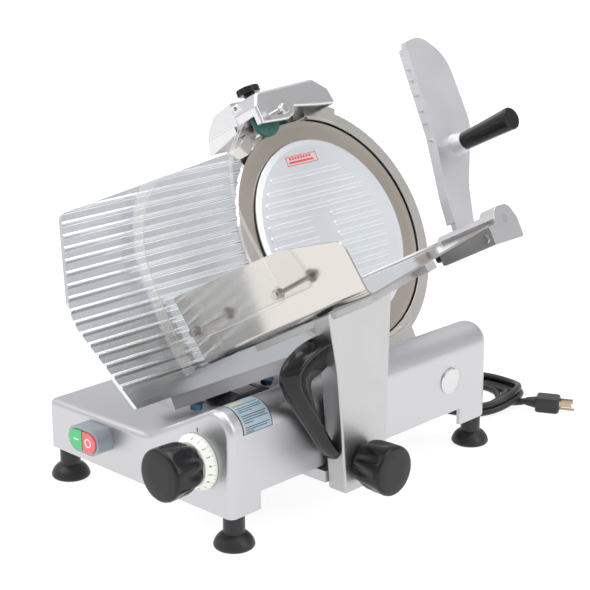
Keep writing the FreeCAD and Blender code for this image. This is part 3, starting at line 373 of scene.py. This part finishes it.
def finish(name, tone, metallic, rough, mottle=0.06, mottle_scale=14.0, grain_scale=600.0,
           grain_stretch=(1, 1, 1), grain_depth=0.15, rough_spread=0.12, wear=0.0,
           wear_tone=None, round_edges=0.0, coat=0.0, centre=None, specular=0.5):
    """A surface with mottled colour, a grain in roughness and bump, and wear along its edges.

    With a centre, the grain runs in rings round it, as on a turned or ground disc."""
    made, add, shader = new_material(name)
    where = add("TexCoord").outputs["Object"]
    if centre is None:
        along = add("Mapping", {"Vector": where, "Scale": grain_stretch}).outputs["Vector"]
    else:
        reach = add("VectorMath", {0: where, 1: centre}, operation="DISTANCE")
        rings = add("CombineXYZ", {"X": reach.outputs["Value"]})
        small = add("VectorMath", {0: where, "Scale": 0.03}, operation="SCALE")
        along = add("VectorMath", {0: rings.outputs[0], 1: small.outputs[0]}).outputs[0]
    cloud = add("TexNoise", {"Vector": where, "Scale": mottle_scale, "Detail": 4.0})
    grain = add("TexNoise", {"Vector": along, "Scale": grain_scale, "Detail": 3.0})
    blend = add("Mix", {"Factor": GRAIN_SHARE, "A": cloud.outputs["Fac"],
                        "B": grain.outputs["Fac"]})
    patches = add("MapRange", {"Value": blend.outputs["Result"], "From Min": 0.3,
                               "From Max": 0.7})
    dark = tuple(c * (1 - mottle) for c in tone[:3]) + (1,)
    pale = tuple(min(1.0, c * (1 + mottle)) for c in tone[:3]) + (1,)
    colour = add("Mix", {"Factor": patches.outputs["Result"], 6: dark, 7: pale},
                 data_type="RGBA").outputs[2]
    roughness = add("MapRange", {"Value": blend.outputs["Result"],
                                 "To Min": max(0.02, rough - rough_spread),
                                 "To Max": rough + rough_spread})
    bump = add("Bump", {"Height": grain.outputs["Fac"], "Strength": grain_depth,
                        "Distance": BUMP_HEIGHT})
    if wear or round_edges:
        rim = add("Bevel", {"Radius": round_edges or WEAR_RADIUS}, samples=4)
    if round_edges:
        fill(bump, {"Normal": rim.outputs["Normal"]})
    if wear:
        broken = add("Math", {0: edge_mask(add, rim, 0.995, 0.80, wear),
                              1: patches.outputs["Result"]}, operation="MULTIPLY")
        colour = add("Mix", {"Factor": broken.outputs[0], 6: colour, 7: wear_tone or pale},
                     data_type="RGBA").outputs[2]
    fill(shader, {"Base Color": colour, "Metallic": metallic,
                  "Roughness": roughness.outputs["Result"], "Specular IOR Level": specular,
                  "Coat Weight": coat, "Coat Roughness": 0.12,
                  "Normal": bump.outputs["Normal"]})
    return made


def dress(material, *names):
    for name in names:
        thing = NODES[name] if name in NODES else bpy.data.objects[name]
        thing.data.materials.clear()
        thing.data.materials.append(material)


cast = finish("cast_satin", linear(196, 196, 199), 1.0, 0.38, 0.03, 9, 900, grain_depth=0.25,
              rough_spread=0.10)
polished_cast = finish("cast_polished", linear(214, 213, 215), 1.0, 0.24, 0.04, 16, 700,
                       (1, 0.15, 1), grain_depth=0.10, rough_spread=0.08, round_edges=0.0010)
ring_cast = finish("ring_steel", linear(212, 209, 204), 1.0, 0.28, 0.05, 12, 900,
                   grain_depth=0.12, rough_spread=0.10, round_edges=0.0008)
cover_satin = finish("cover_satin", linear(230, 234, 238), 0.8, 0.36, 0.03, 10, 700,
                     (1, 0.1, 1), grain_depth=0.12, rough_spread=0.08)
plate = finish("gauge_satin", linear(222, 226, 230), 1.0, 0.20, 0.03, 8, 500, (1, 0.04, 1),
               grain_depth=0.12, rough_spread=0.08)
sheet = finish("tray_polished", linear(206, 202, 196), 1.0, 0.14, 0.03, 6, 260, (1, 0.03, 1),
               grain_depth=0.10, rough_spread=0.06)
arm_satin = finish("arm_satin", linear(190, 190, 190), 1.0, 0.40, 0.05, 30, 1300,
                   grain_depth=0.5, rough_spread=0.08, wear=0.5, wear_tone=linear(220, 220, 222),
                   round_edges=0.0012)
pusher_satin = finish("pusher_satin", linear(208, 207, 211), 0.9, 0.40, 0.04, 22, 1000,
                      grain_depth=0.4, rough_spread=0.10, round_edges=0.0008)
knife = finish("knife_ground", linear(186, 178, 168), 1.0, 0.32, 0.03, 7, 900,
               grain_depth=0.10, rough_spread=0.12, centre=tuple(BLADE_AT))
bar_steel = finish("bar_steel", linear(206, 206, 206), 1.0, 0.16, 0.03, 20, 900, (0.1, 1, 1),
                   grain_depth=0.08, rough_spread=0.06)
chrome = finish("chrome", linear(222, 220, 216), 1.0, 0.08, 0.02, 30, 900, grain_depth=0.04,
                rough_spread=0.04, round_edges=0.0004)
stud_steel = finish("stud_steel", linear(186, 182, 176), 1.0, 0.12, 0.12, 90, 900,
                    grain_depth=0.08, rough_spread=0.06, wear=0.4,
                    wear_tone=linear(90, 84, 78), round_edges=0.0004)
zinc = finish("blue_zinc", linear(84, 128, 160), 1.0, 0.26, 0.22, 60, 900, grain_depth=0.2,
              rough_spread=0.12, wear=0.6, wear_tone=linear(190, 205, 215), round_edges=0.0005)
black = finish("black_knob", linear(18, 18, 20), 0.0, 0.24, 0.20, 30, 700, grain_depth=0.12,
               rough_spread=0.08, wear=0.25, wear_tone=linear(60, 60, 62), specular=0.35)
gloss = finish("handle_gloss", linear(14, 13, 14), 0.0, 0.12, 0.20, 24, 500, grain_depth=0.05,
               rough_spread=0.05, wear=0.2, wear_tone=linear(50, 48, 48), specular=0.40)
dial = finish("dial_ivory", linear(236, 240, 230), 0.0, 0.34, 0.02, 18, 700, grain_depth=0.08,
              rough_spread=0.08)
green = finish("start_green", linear(58, 182, 110), 0.0, 0.34, 0.05, 40, 900, grain_depth=0.1,
               rough_spread=0.08, coat=0.4)
red = finish("stop_red", linear(226, 92, 100), 0.0, 0.34, 0.05, 40, 900, grain_depth=0.1,
             rough_spread=0.08, coat=0.4)
bezel = finish("bezel_smoke", linear(142, 150, 158), 0.1, 0.25, 0.06, 30, 700, grain_depth=0.1,
               rough_spread=0.08, coat=0.5)
stone = finish("stone_green", linear(58, 104, 94), 0.0, 0.82, 0.25, 90, 2200, grain_depth=1.0,
               rough_spread=0.12)
rubber = finish("rubber_black", linear(24, 24, 25), 0.0, 0.40, 0.18, 25, 900, grain_depth=0.3,
                rough_spread=0.12, wear=0.25, wear_tone=linear(60, 60, 60))
jacket = finish("cord_jacket", linear(30, 30, 32), 0.0, 0.42, 0.15, 40, 1200, grain_depth=0.2,
                rough_spread=0.10)
brass = finish("brass", linear(176, 164, 142), 1.0, 0.22, 0.08, 60, 900, grain_depth=0.1,
               rough_spread=0.08)
enamel = finish("motor_enamel", linear(38, 38, 40), 0.0, 0.45, 0.15, 20, 900, grain_depth=0.5,
                rough_spread=0.12)
belt_rubber = finish("belt_rubber", linear(30, 29, 28), 0.0, 0.65, 0.2, 40, 900,
                     grain_depth=0.6, rough_spread=0.12)


def clear_sheet():
    """Clear plastic: nearly invisible flat on, whiter on its cut edges and its end flange, where
    a painted glow stands in for the light the sheet carries to them.
    """
    made, add, shader = new_material("clear_acrylic")
    coords = add("TexCoord")
    haze = add("TexNoise", {"Vector": coords.outputs["Object"], "Scale": 26.0}).outputs["Fac"]
    level = add("MapRange", {"Value": haze, "To Min": 0.03, "To Max": 0.10})
    tone = add("Mix", {"Factor": haze, 6: (0.80, 0.81, 0.80, 1), 7: (0.90, 0.90, 0.89, 1)},
               data_type="RGBA")
    # painted glow: how solid the sheet is depends on which way each face turns from N, so that
    # its end flange shows
    facing = add("VectorMath", {0: coords.outputs["Normal"], 1: tuple(N)},
                 operation="DOT_PRODUCT")
    flange = add("Math", {0: facing.outputs["Value"]}, operation="ABSOLUTE")
    solid = add("MapRange", {"Value": flange.outputs[0], "From Min": 0.5, "From Max": 0.9,
                             "To Min": 0.06, "To Max": 0.13})
    # painted edge glow: near its cut edges the sheet is made nearly solid and given a tint
    edge = edge_mask(add, add("Bevel", {"Radius": 0.0018}, samples=8), 0.99, 0.85)
    tone_and_edge_glow = add("Mix", {"Factor": edge, 6: tone.outputs[2], 7: (0.48, 0.46, 0.43, 1)},
               data_type="RGBA")
    cover = add("Mix", {"Factor": edge, "A": solid.outputs["Result"], "B": 0.85})
    fill(shader, {"Base Color": tone_and_edge_glow.outputs[2], "Roughness": level.outputs["Result"],
                  "Alpha": cover.outputs["Result"]})
    return made


clear = clear_sheet()
dress(cast, "base_housing", "carriage_foot", "drive_cover", "gauge_bar")
dress(polished_cast, "sharpener_body", "rod_end_block")
dress(ring_cast, "blade_support")
dress(cover_satin, "blade_cover")
dress(plate, "gauge_plate", "gauge_post")
dress(sheet, "tray", "bottom_plate")
dress(arm_satin, "carriage_arm")
dress(pusher_satin, "pusher_plate")
dress(knife, "blade")
dress(bar_steel, "carriage_rail", "guide_bar", "gauge_rod", "index_shaft", "blade_shaft",
      "blade_bearings", "blade_pulley", "motor_pulley", "cover_rod", "blade_screws",
      "sharpener_post", "pusher_rod", "rod_screws", "side_badge")
dress(chrome, "pin_front", "pin_back", "pusher_spikes")
dress(stud_steel, "guard_studs", "guard_nuts")
dress(zinc, "gauge_bolts")
dress(black, "index_knob", "clamp_knob", "sharpener_knob", "cover_knob")
dress(gloss, "carriage_handle", "pusher_grip")
lever.data.materials.append(gloss)
for knob in knobs:
    knob.data.materials.append(black)
dress(dial, "index_dial")
dress(green, "start_button")
dress(red, "stop_button")
dress(bezel, "switch_bezel")
dress(enamel, "switch_block", "motor")
dress(clear, "guard")
dress(stone, "stone_front", "stone_back")
dress(rubber, "feet", "gauge_boot", "cord_gland", "rod_bumper")
dress(belt_rubber, "drive_belt")
dress(jacket, "plug_body")
dress(brass, "plug_prongs", "pusher_bush")
cord.data.materials.append(jacket)


# ---- marks and labels ---------------------------------------------------------------------
def mesh_piece(name, points, faces, body, material, slot, thickness):
    """A thin raised mark over the surface that carries it; with 0 it is a bare film of ink."""
    mesh = bpy.data.meshes.new(name)
    mesh.from_pydata([tuple(p) for p in points], [], faces)
    mesh.validate()
    mesh.update()
    piece = put(name, mesh)
    mesh.materials.append(material)
    if thickness:
        solid = piece.modifiers.new("thickness", "SOLIDIFY")
        solid.thickness = thickness
        solid.offset = 1.0
    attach(piece, body)


def ink(name, tone, rough=0.5):
    return finish(name, tone, 0.0, rough, 0.12, 60, 900, grain_depth=0.1, rough_spread=0.1)


ink_black = ink("ink_black", linear(40, 44, 42))
ink_grey = ink("ink_grey", linear(64, 76, 84))
ink_white = ink("ink_white", linear(238, 240, 238))
ink_red = ink("ink_red", linear(226, 74, 60))
ink_blue = ink("label_blue", linear(148, 166, 178), 0.35)
ink_yellow = ink("label_yellow", linear(222, 184, 40), 0.4)


def flat_patch(corners):
    """A four-cornered face; the order of its corners makes it face outwards."""
    return [Vector(c) for c in corners], [(0, 1, 2, 3)]


def gather(parts):
    """Joins (points, faces) pairs into one."""
    points, faces = [], []
    for more, their_faces in parts:
        base = len(points)
        points += list(more)
        faces += [tuple(base + i for i in face) for face in their_faces]
    return points, faces


def digits(text, size):
    """The outline faces of some digits, centred on the origin in the XY plane."""
    curve = bpy.data.curves.new("digits", "FONT")
    curve.body = text
    curve.size = size
    curve.align_x = "CENTER"
    curve.align_y = "CENTER"
    holder = put("digits", curve)
    bpy.context.view_layer.update()
    mesh = bpy.data.meshes.new_from_object(holder)
    points = [v.co.copy() for v in mesh.vertices]
    faces = [tuple(p.vertices) for p in mesh.polygons]
    bpy.data.objects.remove(holder)
    bpy.data.curves.remove(curve)
    bpy.data.meshes.remove(mesh)
    return points, faces


DIAL_WIDE, DIAL_NARROW = 0.033, 0.026                    # radii at the cone's ends
DIAL_RIM = 0.003                                         # the straight rim behind the cone
DIGIT_SIZE = 0.0058
# places along the cone, 0 at its narrow end and 1 at its wide one
DIGIT_AT, LONG_LINE, SHORT_LINE, LINE_END = 0.47, 0.80, 0.87, 0.97


def dial_marks():
    """The numbers 0 to 15 round the dial's cone, with a line at each and one between."""
    low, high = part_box("index_dial")
    centre = Vector(((low.x + high.x) / 2, 0, (low.z + high.z) / 2))
    cone = Vector((DIAL_WIDE - DIAL_NARROW, high.y - DIAL_RIM - low.y))
    slope, length = cone.normalized(), cone.length

    def on_cone(angle, along, across, lift=0.00008):
        """along is a share of the cone's length; across is in metres."""
        radius = DIAL_NARROW + slope.x * along * length
        turn = angle + across / radius
        outward = Vector((math.cos(turn), 0, math.sin(turn)))
        normal = outward * slope.y - Vector((0, slope.x, 0))
        return (centre + outward * radius + normal * lift
                + Vector((0, low.y + slope.y * along * length, 0)))

    parts, half = [], 0.00022                            # half a line's width
    for step in range(32):                               # two for each number from 0 to 15
        angle = math.pi / 2 - math.radians(step * 10.0)
        numbered = step % 2 == 0
        start = LONG_LINE if numbered else SHORT_LINE
        parts.append(flat_patch([on_cone(angle, at, across) for at, across in (
            (start, -half), (start, half), (LINE_END, half), (LINE_END, -half))]))
        if numbered:
            points, faces = digits(str(step // 2), DIGIT_SIZE)
            parts.append(([on_cone(angle, DIGIT_AT + p.y / length, -p.x) for p in points],
                          faces))
    points, faces = gather(parts)
    mesh_piece("dial_marks", points, faces, "index", ink_black, "dial_plastic", 0)


def disc_ring(centre, right, up, outer, inner, steps=40):
    """A flat ring between two radii, in the plane of right and up."""
    points, faces = [], []
    for i in range(steps):
        a = 2 * math.pi * i / steps
        way = right * math.cos(a) + up * math.sin(a)
        points += [centre + way * outer, centre + way * inner]
    for i in range(steps):
        j = (i + 1) % steps
        faces.append((2 * i, 2 * j, 2 * j + 1, 2 * i + 1))
    return points, faces


def button_marks():
    """A line on the start button and a ring on the stop button, each a little inwards."""
    def face(node, shift):
        low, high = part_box(node)
        return Vector(((low.x + high.x) / 2 + shift, low.y - 0.0001, (low.z + high.z) / 2))

    start, wide, high = face("start_button", 0.0015), 0.0045 * X, 0.0009 * Z
    line = flat_patch([start - wide - high, start + wide - high, start + wide + high,
                       start - wide + high])
    mesh_piece("start_mark", *line, "start_button", ink_white, "green_plastic", 0.0001)
    ring = disc_ring(face("stop_button", -0.0015), X, Z, 0.0056, 0.0041)
    mesh_piece("stop_mark", *ring, "stop_button", ink_white, "red_plastic", 0.0001)


def dial_pointer():
    """A small wedge on the base, over the dial."""
    low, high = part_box("index_dial")
    at = Vector(((low.x + high.x) / 2, ORIGIN.y - 0.0201, high.z + 0.0022))
    points, faces = flat_patch([at - X * 0.0003, at + X * 0.0003, at + X * 0.0011 + Z * 0.0046,
                                at - X * 0.0011 + Z * 0.0046])
    mesh_piece("dial_pointer", points, faces, "frame", ink_black, "cast_aluminium", 0.0001)


def surface_of(node):
    """The node's surface, to cast rays at."""
    return BVHTree.FromPolygons([v.co for v in NODES[node].data.vertices],
                                [tuple(p.vertices) for p in NODES[node].data.polygons])


BORDER_LIFT, PANEL_LIFT, INK_LIFT = 0.00010, 0.00020, 0.00032
BAR_WIDTH = 2.2                                          # degrees round the hump's shoulder
# where each bar starts round the shoulder, in degrees, and how far along it runs, in metres
BARS = ((80, 0.040), (69, 0.041), (63, 0.040), (57, 0.024), (46, 0.041), (40, 0.038),
        (34, 0.041), (28, 0.018), (17, 0.041), (11.5, 0.037), (6, 0.016))


def hump_label():
    """A plain panel that wraps the shoulder of the hump, with a dark border and grey bars."""
    skin = surface_of("base_housing")
    pivot = ORIGIN + Vector((-0.0093, 0, 0.1378))        # the axis of the rounded shoulder

    def on_skin(angle, y, lift):
        way = Vector((math.cos(math.radians(angle)), 0, math.sin(math.radians(angle))))
        start = pivot + Vector((0, y, 0)) + way * 0.12
        hit, normal, _, _ = skin.ray_cast(start, -way)
        return hit + normal * lift

    def panel(a0, a1, y0, y1, lift, rows=24, columns=6):
        """A grid between two angles round the shoulder and two places along it."""
        points, faces = [], []
        for i in range(rows + 1):
            for j in range(columns + 1):
                points.append(on_skin(a0 + (a1 - a0) * i / rows, y0 + (y1 - y0) * j / columns,
                                      lift))
        wide = columns + 1
        for i in range(rows):
            for j in range(columns):
                a = i * wide + j
                faces.append((a, a + 1, a + wide + 1, a + wide))
        return points, faces

    mesh_piece("hump_label_border", *panel(112, 0, -0.001, 0.045, BORDER_LIFT), "frame",
               ink_black, "cast_aluminium", 0)
    mesh_piece("hump_label", *panel(110.2, 1.9, 0.0004, 0.0436, PANEL_LIFT), "frame",
               ink_blue, "cast_aluminium", 0)
    mesh_piece("hump_label_flash", *panel(92, 86, 0.003, 0.023, INK_LIFT), "frame",
               ink_yellow, "cast_aluminium", 0)
    bars = [panel(angle, angle - BAR_WIDTH, 0.004, end, INK_LIFT, 2, 4) for angle, end in BARS]
    mesh_piece("hump_label_bars", *gather(bars), "frame", ink_grey, "cast_aluminium", 0)


def cover_label():
    """A red outline above the cover's ribs, round a long bar and a row of eight short ones."""
    skin = surface_of("blade_cover")

    def on_cover(y, s, lift):
        start = ORIGIN + Vector((0, y, 0)) + D * s + N * 0.1
        hit, _, _, _ = skin.ray_cast(start, -N)
        return hit + N * lift

    def strip(y0, y1, s0, s1):
        return flat_patch([on_cover(y, s, 0.0001) for y, s in ((y0, s0), (y1, s0), (y1, s1),
                                                               (y0, s1))])

    y0, y1, s0, s1, line = 0.3385, 0.395, 0.4155, 0.4285, 0.0009
    parts = [strip(y0, y1, s0, s0 + line), strip(y0, y1, s1 - line, s1),
             strip(y0, y0 + line, s0, s1), strip(y1 - line, y1, s0, s1),
             strip(y0 + 0.004, y1 - 0.007, s0 + 0.0030, s0 + 0.0058)]
    parts += [strip(y0 + 0.006 + 0.0052 * i, y0 + 0.0095 + 0.0052 * i, s0 + 0.0078, s0 + 0.0112)
              for i in range(8)]
    mesh_piece("cover_label", *gather(parts), "frame", ink_red, "plate_aluminium", 0.0001)


dial_marks()
button_marks()
dial_pointer()
hump_label()
cover_label()

bpy.context.view_layer.update()
